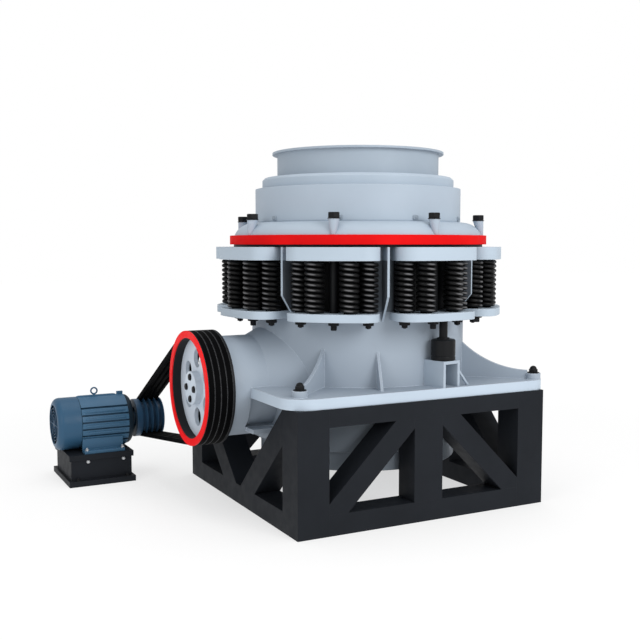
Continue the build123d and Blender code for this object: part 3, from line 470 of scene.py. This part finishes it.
# %% Finishes by slot
finishes = {
    "frame_paint": plain_paint,
    "web_paint": painted("pale_web_paint", linear(200, 212, 224), pale_wear_and_highlight, 0.4, specular=0.4, variation=0.03),
    "red_paint": painted("red_machine_paint", linear(220, 20, 22), linear(236, 60, 56), 0.6, specular=0.03,
                         variation=0.04),
    "stand_steel": painted("charcoal_paint", linear(29, 32, 37), linear(60, 64, 70), 0.55, specular=0.1,
                           variation=0.1, wear=0.3),
    "dark_steel": painted("black_paint", linear(20, 21, 23), linear(56, 58, 62), 0.45, specular=0.15,
                          variation=0.1),
    # The grey on the springs' crests is a painted highlight.
    "spring_steel": painted("black_spring_enamel", linear(10, 10, 11), linear(12, 12, 13), 0.45, specular=0.2,
                            round_by=0.001, cover=(painted_crest_highlight, linear(98, 98, 100))),
    "belt_rubber": painted("belt_rubber", linear(4, 4, 5), linear(50, 50, 51), 0.7, specular=0.04,
                           variation=0.15, grain=160.0, bump=0.08, round_by=0.003),
    "wear_steel": painted("manganese_casting", linear(118, 118, 120), linear(170, 170, 172), 0.5, metal=0.8,
                          variation=0.2, grain=40.0, bump=0.25),
    "motor_paint": painted("blue_motor_paint", linear(60, 100, 130), linear(104, 146, 176), 0.42, specular=0.3,
                           cover=(groove_floor, linear(50, 84, 110))),
    "cover_paint": painted("blue_cover_paint", linear(48, 86, 115), linear(96, 136, 166), 0.4, specular=0.25),
    "pulley_paint": painted("navy_paint", linear(38, 70, 98), linear(84, 124, 156), 0.38, specular=0.3,
                            variation=0.08),
    "bright_steel": painted("machined_steel", linear(190, 192, 195), linear(225, 226, 228), 0.3, metal=0.9),
}
print("finishes by slot:", len(finishes))

# %% Finishes of single pieces
# Dead black that stands in for shade: the guides inside the springs and the inside of the fan cowl.
painted_shade_black = painted("painted_shade_black", linear(6, 6, 7), linear(8, 8, 8), 0.8, specular=0.05)
own_finish = {
    "main_frame": shell_paint,
    "gusset_plates": gusset_paint,
    "feed_hopper": hopper_paint,
    "upper_seat_plates": seat_paint,
    "lower_seat_plates": seat_paint,
    # The rim's light edges between the belts are rubbed steel and a painted highlight.
    "sheave_rim": painted("rim_paint", linear(30, 31, 34), linear(112, 114, 116), 0.5, specular=0.15, wear=0.9),
    "sheave_face_ring": painted("face_ring_red", linear(242, 12, 18), linear(248, 70, 70), 0.5, specular=0.1,
                                variation=0.04),
    # The end shield's dark tone is a painted shade.
    "end_shield": painted("shield_paint", linear(22, 38, 50), linear(70, 98, 120), 0.5, specular=0.15),
    "lifting_eye": finishes["cover_paint"],
}

for name, node in nodes.items():
    node.data.materials.clear()
    node.data.materials.append(own_finish.get(name, finishes[slots[name]]))
print("nodes with a finish of their own:", len(own_finish))

# %% [markdown]
# ## Surfaces from arrays
# Every new piece is a grid of points, worked out at once for the whole array. A shape here is three arrays:
# its points, its four-sided faces and its three-sided ones. Shapes are copied to their places by one matrix
# product, joined, and only then made into a mesh.

# %% Faces of a grid


def round_angles(count):
    """Evenly spaced angles round a full turn, in radians: 2 pi k / count."""
    return 2 * np.pi * np.arange(count) / count


def grid_faces(rows, columns, closed_rows=False):
    """Faces of a grid whose columns close on themselves: point, next column, next row's next column, next row."""
    row = np.arange(rows if closed_rows else rows - 1)[:, None]
    column = np.arange(columns)[None, :]
    up, along = (row + 1) % rows, (column + 1) % columns
    corners = (row * columns + column, row * columns + along, up * columns + along, up * columns + column)
    return np.stack(np.broadcast_arrays(*corners), -1).reshape(-1, 4)


def end_fans(rows, columns):
    """Fans of three-sided faces that close both ends of a grid with one point each, numbered after the grid."""
    here = np.arange(columns)
    there = (here + 1) % columns
    last = (rows - 1) * columns
    first_fan = np.stack([np.full(columns, rows * columns), there, here], -1)
    last_fan = np.stack([np.full(columns, rows * columns + 1), here + last, there + last], -1)
    return np.vstack([first_fan, last_fan])


no_fans = np.zeros((0, 3), int)
print("a tube of 3 rings of 8 points has", len(grid_faces(3, 8)) + len(end_fans(3, 8)), "faces")

# %% Rings, hoops and carried sections


def ringed(radius, height, sides=32):
    """Rings about the z axis: x = r cos a, y = r sin a, z = height, with r and height for each row and side."""
    angle = round_angles(sides)
    radius = np.asarray(radius, float).reshape(len(radius), -1) * np.ones(sides)
    height = np.asarray(height, float).reshape(len(height), -1) * np.ones(sides)
    points = np.stack([radius * np.cos(angle), radius * np.sin(angle), height], -1).reshape(-1, 3)
    ends = [[0, 0, height[0].mean()], [0, 0, height[-1].mean()]]
    return np.vstack([points, ends]), grid_faces(len(radius), sides), end_fans(len(radius), sides)


def hooped(radius, height, sides=64):
    """A closed outline of (r, z) points carried round the z axis, as a ring with a hole is."""
    angle = round_angles(sides)
    radius, height = np.asarray(radius, float)[:, None], np.asarray(height, float)[:, None]
    points = np.stack([radius * np.cos(angle), radius * np.sin(angle), height + 0 * angle], -1).reshape(-1, 3)
    return points, grid_faces(len(radius), sides, closed_rows=True), no_fans


def unit(vectors):
    """Each vector divided by its length."""
    return vectors / np.linalg.norm(vectors, axis=-1, keepdims=True)


def carried(path, radius, sides=10, closed=False):
    """A round section carried along a path: point + r (cos a, sin a) across the path's direction."""
    path = np.asarray(path, float)
    ahead = np.roll(path, -1, 0) - np.roll(path, 1, 0) if closed else np.gradient(path, axis=0)
    along = unit(ahead)
    across = unit(np.cross(along, (0, 0, 1)))
    third = np.cross(along, across)
    angle = round_angles(sides)
    radius = (radius * np.ones(len(path)))[:, None, None]
    ring = across[:, None] * np.cos(angle)[:, None] + third[:, None] * np.sin(angle)[:, None]
    points = (path[:, None] + radius * ring).reshape(-1, 3)
    if closed:
        return points, grid_faces(len(path), sides, closed_rows=True), no_fans
    return np.vstack([points, path[0], path[-1]]), grid_faces(len(path), sides), end_fans(len(path), sides)


print("a disc of 32 sides has", len(ringed([1, 1], [0, 1])[0]), "points, its two poles among them")

# %% Copying and placing


def joined(shapes):
    """Several shapes as one, with each one's faces numbered on from the last."""
    starts = np.cumsum([0] + [len(points) for points, _, _ in shapes[:-1]])
    quads = np.vstack([quads + start for start, (_, quads, _) in zip(starts, shapes)])
    triangles = np.vstack([triangles + start for start, (_, _, triangles) in zip(starts, shapes)])
    return np.vstack([points for points, _, _ in shapes]), quads, triangles


def copied(shape, places, turns=None):
    """A shape at many places: point = turn x point + place, for all of them in one product."""
    points, quads, triangles = shape
    places = np.atleast_2d(np.asarray(places, float))
    turns = np.broadcast_to(np.eye(3) if turns is None else turns, (len(places), 3, 3))
    many = np.einsum("kij,nj->kni", turns, points) + places[:, None]
    step = (len(points) * np.arange(len(places)))[:, None, None]
    return many.reshape(-1, 3), (quads + step).reshape(-1, 4), (triangles + step).reshape(-1, 3)


def facing(axis, side):
    """Turning matrices that lay z along the axis and x along the side: columns side, axis x side, axis."""
    axis, side = unit(np.atleast_2d(np.asarray(axis, float))), unit(np.atleast_2d(np.asarray(side, float)))
    axis, side = np.broadcast_arrays(axis, side)
    return np.stack([side, np.cross(axis, side), axis], -1)


def polar(reach, degrees, height=0.0):
    """Points (r cos a, r sin a, height) at a reach from the crusher's axis, with the angles in degrees."""
    angle = np.radians(np.asarray(degrees, float))
    return np.stack([reach * np.cos(angle), reach * np.sin(angle), height + 0 * angle], -1)


def fitted(name, shapes, slot, body="root", finish=None, stands_for=(), sharp=40.0):
    """Make the mesh of a piece, finish it, and fit it to its body in the frame."""
    points, quads, triangles = joined(shapes)
    mesh = bpy.data.meshes.new(name)
    mesh.from_pydata(points.tolist(), [], quads.tolist() + triangles.tolist())
    mesh.shade_smooth()
    mesh.set_sharp_from_angle(angle=math.radians(sharp))
    mesh.materials.append(finish or finishes[slot])
    piece = bpy.data.objects.new(name, mesh)
    bpy.context.collection.objects.link(piece)
    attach(piece, body)
    if stands_for:
        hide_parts(*stands_for)
    print(name, "triangles:", 2 * len(quads) + len(triangles))


downwards = facing((0, 0, -1), (1, 0, 0))
leftwards = facing((-1, 0, 0), (0, 0, 1))
print("a bolt's own z axis, laid leftwards:", (leftwards[0] @ (0, 0, 1)).tolist())

# %% [markdown]
# ## Release springs
# Eight groups of four heavy coil springs hold the bowl down. Each is wound left-handed from round bar, with
# its end turns closed and ground flat so that it stands square on its seat. A coil is a circle carried along
# a helix: the angle runs evenly, and the height runs slowly in the end turns and faster in between. Points
# past the seats are pressed back to them, which is just what grinding does.

# %% One spring
spring_low, spring_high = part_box("release_springs")[0][2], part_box("release_springs")[1][2]
wire_radius, coil_radius = 0.0135, 0.0578
spring_turns, steps_per_turn = 10, 20
closed_turns, easing_turns = 0.7, 0.4
open_gap = 0.0092
ground_depth = 0.7 * wire_radius

turns = np.linspace(0, spring_turns, spring_turns * steps_per_turn + 1)
opens = np.clip((turns - closed_turns) / easing_turns, 0, 1)
closes = np.clip((spring_turns - closed_turns - turns) / easing_turns, 0, 1)
rise = 2 * wire_radius + open_gap * opens * closes
climb = np.concatenate([[0], np.cumsum((rise[1:] + rise[:-1]) / 2)])
climb = spring_low + ground_depth + climb / climb[-1] * (spring_high - spring_low - 2 * ground_depth)
winding = -2 * np.pi * turns
helix = np.stack([coil_radius * np.cos(winding), coil_radius * np.sin(winding), climb], -1)
coil = carried(helix, wire_radius, sides=12)
coil[0][:, 2] = np.clip(coil[0][:, 2], spring_low, spring_high)
print("spring height:", round(spring_high - spring_low, 4))

# %% All springs, with the black guide inside each
group_angles = first_group + 360 / group_count * np.arange(group_count)
near_reach, near_angle = 1.014, 6.9
far_reach, far_angle = 0.949, 14.67
guide_radius, guide_chamfer = 0.040, 0.002


def both_sides(reach, angle, height=0.0):
    """Two places in each spring group, at one angle on both sides of its middle."""
    return polar(reach, np.concatenate([group_angles - angle, group_angles + angle]), height)


spring_places = np.vstack([both_sides(near_reach, near_angle), both_sides(far_reach, far_angle)])
inward = -unit(spring_places)
fitted("wound_springs", [copied(coil, spring_places, facing((0, 0, 1), inward))], "spring_steel",
       stands_for=["release_springs"], sharp=60)

# The guide inside each spring is dead black, a painted shade for the dark inside of the coils.
guide = ringed([guide_radius - guide_chamfer, guide_radius, guide_radius, guide_radius - guide_chamfer],
               [spring_low, spring_low + guide_chamfer, spring_high - guide_chamfer, spring_high], 20)
fitted("spring_guides", [copied(guide, spring_places)], "spring_steel", finish=painted_shade_black)

# %% [markdown]
# ## Nuts, washers and threads
# A hexagon nut is a hexagonal bar whose corners were turned off on a lathe: the distance to a flat is even,
# the corners stand out, and where the turned cone meets the flats it leaves the curved edge that everyone
# knows. As a formula, the ring's radius is the hexagon's at each angle, and the cone lowers each point by its
# distance past the flat. A thread is a ring whose radius falls and rises with height minus angle.

# %% Fastener shapes
chamfer_slope = 0.577
face_share, cone_share = 0.94, 0.97
thread_depth = 0.35


def hexagon(flat, sides):
    """Distance to a hexagon's edge at each angle: flat / cos(angle from the middle of its side)."""
    return flat / np.cos(np.mod(round_angles(sides), np.pi / 3) - np.pi / 6)


def nut(flat, height, start=0.0, sides=24):
    """A hexagon nut: a turned face, the chamfered hexagon, and a turned face again."""
    edge = hexagon(flat, sides)
    drop = chamfer_slope * (edge - cone_share * flat)
    face = np.full(sides, face_share * flat)
    level = np.ones(sides)
    levels = [start * level, start + drop, start + height - drop, (start + height) * level]
    return ringed([face, edge, edge, face], levels, sides)


def washer(radius, thickness, start=0.0, sides=32):
    """A turned disc with small chamfers on both faces."""
    c = 0.2 * thickness
    levels = [start, start + c, start + thickness - c, start + thickness]
    return ringed([radius - c, radius, radius, radius - c], levels, sides)


def thread(radius, pitch, start, length, sides=16):
    """A threaded stud with a chamfered tip: radius less a triangle wave of height / pitch less angle."""
    rows = int(4 * length / pitch)
    height = np.linspace(start, start + length, rows + 1)[:, None]
    wave = np.abs(2 * np.mod(height / pitch - np.arange(sides) / sides, 1.0) - 1)
    tip = np.clip((start + length - height) / (0.2 * radius), 0, 1)
    return ringed((radius - thread_depth * pitch * wave) * (0.85 + 0.15 * tip), height, sides)


print("a nut 75 mm over flats is", round(2000 * hexagon(0.0375, 24).max(), 1), "mm over corners")

# %% [markdown]
# ## Tie rods and seat bolts
# A tie rod runs through the middle of each spring group and ends under the lower seat plate in a washer, a
# nut and the rest of its thread. The outer springs' seats are held by a bolt each, finished the same way.

# %% Rods and bolts under the seat plates
plate_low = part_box("lower_seat_plates")[0][2]
rod_reach, rod_radius = 0.937, 0.030
under_washer = washer(radius=0.044, thickness=0.006)

rod = ringed([rod_radius, rod_radius], [pocket_low, pocket_high], 32)
rod_end = [under_washer, nut(flat=0.0375, height=0.027, start=0.006),
           thread(radius=0.0225, pitch=0.005, start=0.033, length=0.034)]
rod_feet = polar(rod_reach, group_angles, plate_low)
rods = [copied(rod, polar(rod_reach, group_angles)), copied(joined(rod_end), rod_feet, downwards)]
fitted("tie_rod_sets", rods, "dark_steel", stands_for=["tie_rods"])

bolt_end = [under_washer, nut(flat=0.0375, height=0.025, start=0.006), nut(flat=0.0205, height=0.018, start=0.031),
            thread(radius=0.012, pitch=0.004, start=0.048, length=0.006)]
bolts = copied(joined(bolt_end), both_sides(far_reach, far_angle, plate_low), downwards)
fitted("seat_bolt_sets", [bolts], "dark_steel", stands_for=["seat_bolts"])

# %% [markdown]
# ## Nuts on the lifting posts and the anchor bosses
# Each lifting post is topped by a large cap nut on a washer, flat on top. The four anchor bosses of the base
# plate carry dome nuts, which keep rain and dust off the thread: a dome is a ring whose radius falls with the
# cosine of its lift while its height rises with the sine.

# %% Post nuts
post_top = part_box("post_caps")[0][2]
post_end = [washer(radius=0.045, thickness=0.006), nut(flat=0.0385, height=0.039, start=0.006)]
post_nuts = copied(joined(post_end), polar(rod_reach, group_angles, post_top))
fitted("post_nuts", [post_nuts], "dark_steel", stands_for=["post_caps"])

# %% Dome nuts
boss_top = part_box("anchor_nuts")[0][2]
left_boss, right_boss = (-0.945, 0.895), (0.995, 0.943)
dome_radius, dome_from, dome_height = 0.0265, 0.030, 0.025

boss_places = [(x, side * y, boss_top) for x, y in (left_boss, right_boss) for side in (-1, 1)]
lift = np.radians(np.linspace(0, 84, 8))
dome_cap = ringed(dome_radius * np.cos(lift), dome_from + dome_height * np.sin(lift), 24)
boss_end = [washer(radius=0.045, thickness=0.006), nut(flat=0.030, height=0.025, start=0.006), dome_cap]
fitted("dome_nuts", [copied(joined(boss_end), boss_places)], "dark_steel", stands_for=["anchor_nuts"])

# %% [markdown]
# ## Bolts of the sheave hub
# Four hexagon bolts clamp the hub on its taper. They turn with the sheave, so they ride on its body.

# %% Hub bolts
shaft_height, hub_circle = 0.905, 0.080
hub_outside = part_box("hub_bolts")[1][0]
quarter = round_angles(4)
hub_places = np.stack(
    [np.full(4, hub_outside), hub_circle * np.cos(quarter), shaft_height + hub_circle * np.sin(quarter)], -1)
hub_bolt = [washer(radius=0.0260, thickness=0.003), nut(flat=0.0210, height=0.009, start=0.003)]
fitted("hub_bolt_heads", [copied(joined(hub_bolt), hub_places, leftwards)], "dark_steel", body="sheave",
       stands_for=["hub_bolts"])

# %% [markdown]
# ## Release cylinder
# A short hydraulic cylinder stands on the open box and pushes its rod against the lower seat plate. It is a
# lathe shape: a body with turned chamfers, a gland around the rod, and the rod itself. Its outline is a list
# of (radius, height over its foot).

# %% The cylinder
ram_foot, ram_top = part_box("release_cylinder")[0][2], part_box("release_cylinder")[1][2]
ram_place = (0.1895, -0.9151, 0.0)
ram_body, ram_rod = 0.150, 0.030
ram_outline = [
    (0.082, 0.0), (0.087, 0.004), (0.087, 0.024), (0.084, 0.027), (0.084, 0.033), (0.087, 0.036),
    (0.087, ram_body - 0.007), (0.080, ram_body), (0.046, ram_body), (0.046, ram_body + 0.009),
    (0.042, ram_body + 0.012), (ram_rod, ram_body + 0.012), (ram_rod, ram_top - ram_foot),
]
ram_radii, ram_heights = np.transpose(ram_outline)
ram = ringed(ram_radii, ram_foot + ram_heights, 64)
fitted("release_ram", [copied(ram, [ram_place])], "dark_steel", stands_for=["release_cylinder"])

# %% [markdown]
# ## Lugs at the foot of the adjustment cap
# Small clamp lugs sit around the foot of the cap and stop it from turning. Each is a pad with rounded corners
# and a set screw. The pad's outline is a superellipse: the sum of the sixth powers of x and y stays one.

# %% Pads


def pad(width, depth, thickness, sides=32):
    """A rounded rectangle with bevelled edges: r = (|cos a|^6 + |sin a|^6)^(-1/6), stretched to its sides."""
    angle = round_angles(sides)
    reach = (np.abs(np.cos(angle)) ** 6 + np.abs(np.sin(angle)) ** 6) ** (-1 / 6)
    rows = np.array([0.94, 1.0, 1.0, 0.9])[:, None] * reach
    levels = np.array([0.0, 0.05, 0.75, 1.0])[:, None] * thickness * np.ones(sides)
    points, quads, triangles = ringed(rows, levels, sides)
    return points * (width / 2, depth / 2, 1.0), quads, triangles


pad_corner = np.linalg.norm(pad(2, 2, 1)[0][:, :2], axis=1).max()
print("a pad's corner lies", round(float(pad_corner), 2), "half sides from its middle, a square's 1.41")

# %% Clamp lugs
cap_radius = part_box("adjustment_cap")[1][0]
lug_angles = -168.7 + 40.0 * np.arange(9)
lug_height, lug_sunk, screw_out = 2.139, 0.004, 0.0095

lug_turns = facing(polar(1.0, lug_angles), (0, 0, 1))
lug = pad(width=0.034, depth=0.046, thickness=0.014)
lugs = copied(lug, polar(cap_radius - lug_sunk, lug_angles, lug_height), lug_turns)
fitted("clamp_lugs", [lugs], "frame_paint", finish=lug_paint)
screw = nut(flat=0.0065, height=0.006)
screws = copied(screw, polar(cap_radius + screw_out, lug_angles, lug_height), lug_turns)
fitted("lug_screws", [screws], "frame_paint", finish=lug_paint)

# %% [markdown]
# ## Weld beads
# The hopper's neck and the flange are welded on all round. A bead is a small round section carried round the
# joint, and its radius rises and falls with every stitch of the torch.

# %% Beads on the hopper and the flange
flange_low, flange_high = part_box("hopper_flange")[0][2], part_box("hopper_flange")[1][2]
neck_reach, flange_reach = 0.629, 0.746
steps_per_stitch, ripple = 4, 0.15


def bead(reach, height, radius, stitch=0.012):
    """A rippled ring: the section's radius is r (1 + ripple sin(stitches x angle)), one wave for each stitch."""
    angle = round_angles(int(2 * np.pi * reach / stitch * steps_per_stitch))
    stitches = round(2 * np.pi * reach / stitch)
    path = np.stack([reach * np.cos(angle), reach * np.sin(angle), height + 0 * angle], -1)
    return carried(path, radius * (1 + ripple * np.sin(stitches * angle)), sides=8, closed=True)


beads = [bead(neck_reach, flange_high, 0.006), bead(flange_reach, flange_low, 0.005)]
fitted("hopper_welds", beads, "frame_paint", sharp=80)

# %% [markdown]
# ## The fan cover of the motor
# Behind the motor, a sheet-metal cowl covers the cooling fan. Its end is open, with a wire grille of rings
# and spokes. The cowl is an outline with a real wall thickness carried round the motor's axis, and inside it
# a fan with flat blades shows through the wires.

# %% Cowl
cover_left, cover_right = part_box("fan_cover")[0][0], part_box("fan_cover")[1][0]
cover_radius, mouth_radius = 0.216, 0.160
bend, sheet = 0.050, 0.004
cover_length = cover_right - cover_left - sheet

arc = np.radians(np.linspace(0, 90, 7))
bend_r, bend_z = cover_radius - bend, cover_length - bend
outside_r = np.concatenate([[cover_radius], bend_r + bend * np.cos(arc), [mouth_radius]])
outside_z = np.concatenate([[0.0], bend_z + bend * np.sin(arc), [cover_length]])
inside_r = np.concatenate([[mouth_radius], bend_r + (bend - sheet) * np.cos(arc[::-1]), [cover_radius - sheet]])
inside_z = np.concatenate([[cover_length - sheet], bend_z + (bend - sheet) * np.sin(arc[::-1]), [0.0]])
cowl = hooped(np.concatenate([outside_r, inside_r]), np.concatenate([outside_z, inside_z]), 96)
cover_place = [(cover_left + cover_length, motor_y, motor_z)]
fitted("fan_cowl", [copied(cowl, cover_place, leftwards)], "cover_paint", stands_for=["fan_cover"], sharp=50)

# %% Grille
ring_radii = (0.030, 0.056, 0.082, 0.108, 0.134, mouth_radius + 0.002)
ring_wire, spoke_wire, spoke_middle = 0.0022, 0.0026, 0.080
grille_depth = 0.0045
ring_angle = round_angles(64)

grille = []
for radius in ring_radii:
    path = np.stack([radius * np.cos(ring_angle), radius * np.sin(ring_angle), 0 * ring_angle], -1)
    grille.append(carried(path, ring_wire, sides=8, closed=True))
spoke = carried([(0.0, 0.0, 0.0), (spoke_middle, 0.0, 0.0), (ring_radii[-1], 0.0, 0.0)], spoke_wire, sides=8)
spoke_turns = facing((0, 0, 1), polar(1.0, 45.0 * np.arange(8)))
grille.append(copied(spoke, np.zeros((8, 3)), spoke_turns))
grille.append(washer(radius=0.020, thickness=0.004, start=-0.002))
grille_place = [(cover_left + grille_depth, motor_y, motor_z)]
fitted("fan_grille", [copied(joined(grille), grille_place, leftwards)], "motor_paint",
       finish=finishes["pulley_paint"])

# %% Fan and the dark inside
blade_count, blade_reach = 7, 0.092
fan_depth = 0.110

blade = copied(pad(width=0.006, depth=0.088, thickness=0.070), [(0.0, blade_reach, 0.0)])
blade_turns = facing((0, 0, 1), polar(1.0, 360 / blade_count * np.arange(blade_count)))
blades = copied(blade, np.zeros((blade_count, 3)), blade_turns)
fan_hub = ringed([0.052, 0.055, 0.055, 0.048, 0.030], [0.0, 0.003, 0.060, 0.068, 0.070], 40)
# The dead-black disc behind the fan closes the cowl as a painted shade for its dark inside.
fan_back = ringed([0.206, 0.206], [-0.05, -0.04], 64)
fan_place = [(cover_left + fan_depth, motor_y, motor_z)]
fan = copied(joined([blades, fan_hub, fan_back]), fan_place, leftwards)
fitted("cooling_fan", [fan], "motor_paint", finish=painted_shade_black)

# %% [markdown]
# ## Small parts of the motor and its pedestal
# The motor's feet are bolted down with plain zinc nuts, and more of them hold the pedestal's cover plate. Its
# base plate has dark anchor nuts. Between the grooves of the motor's sides stand low cooling fins, and a thin
# rail runs along its top, where the lifting eye stands.

# %% Motor bolts
bolt_x = (-1.902, -1.612)
foot_y, foot_top = (1.088, 1.572), 0.273
side_y, side_height = (1.055, 1.605), 0.190

foot_places = [(x, y, foot_top) for x in bolt_x for y in foot_y]
foot_bolt = [washer(radius=0.0165, thickness=0.003), nut(flat=0.0125, height=0.011, start=0.003),
             thread(radius=0.0075, pitch=0.003, start=0.014, length=0.010, sides=12)]
side_places = [(x, y, side_height) for x in bolt_x for y in side_y]
side_turns = facing([(0, -1, 0), (0, 1, 0)] * 2, (0, 0, 1))
side_bolt = [washer(radius=0.0140, thickness=0.003), nut(flat=0.0105, height=0.008, start=0.003)]
motor_bolts = [copied(joined(foot_bolt), foot_places), copied(joined(side_bolt), side_places, side_turns)]
fitted("motor_bolts", motor_bolts, "bright_steel")

# %% Anchor nuts of the pedestal
anchor_x, anchor_y, anchor_height = (-1.992, -1.592), (1.031, 1.629), 0.045

anchor_places = [(x, y, anchor_height) for x in anchor_x for y in anchor_y]
anchor = [washer(radius=0.0160, thickness=0.003), nut(flat=0.0120, height=0.010, start=0.003),
          thread(radius=0.0075, pitch=0.003, start=0.013, length=0.010, sides=12)]
fitted("pedestal_anchors", [copied(joined(anchor), anchor_places)], "dark_steel")

# %% Fins on the motor's sides
body_left, body_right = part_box("motor_body")[0][0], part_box("motor_body")[1][0]
fin_length, fin_width, fin_sunk = 0.86 * (body_right - body_left), 0.012, 0.004

fin_rise = np.tile([-0.056, 0.0, 0.056, 0.112], 2)
fin_side = np.repeat([-1.0, 1.0], 4)
fin_y = motor_y + fin_side * (np.sqrt(motor_radius ** 2 - fin_rise ** 2) - fin_sunk)
fin_places = np.stack([np.full(8, (body_left + body_right) / 2), fin_y, motor_z + fin_rise], -1)
fin_turns = facing(np.stack([0 * fin_side, fin_side, 0 * fin_side], -1), (1, 0, 0))
fins = copied(pad(fin_length, fin_width, fin_width), fin_places, fin_turns)
fitted("motor_fins", [fins], "motor_paint")

# %% Top rail of the motor
rail_x, rail_sunk = -1.765, 0.006
rail = pad(width=0.330, depth=0.022, thickness=0.016)
rail_place = [(rail_x, motor_y, motor_z + motor_radius - rail_sunk)]
fitted("motor_top_rail", [copied(rail, rail_place)], "motor_paint")

# %% [markdown]
# ## Check and finish
# The dressed model is set against the frame's own box, and its largest step outside that box is printed.

low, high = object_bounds()
outside = np.concatenate([np.array(cad_low) - low, np.array(high) - cad_high])
print("largest step outside the frame's box:", round(float(outside.max()), 6))
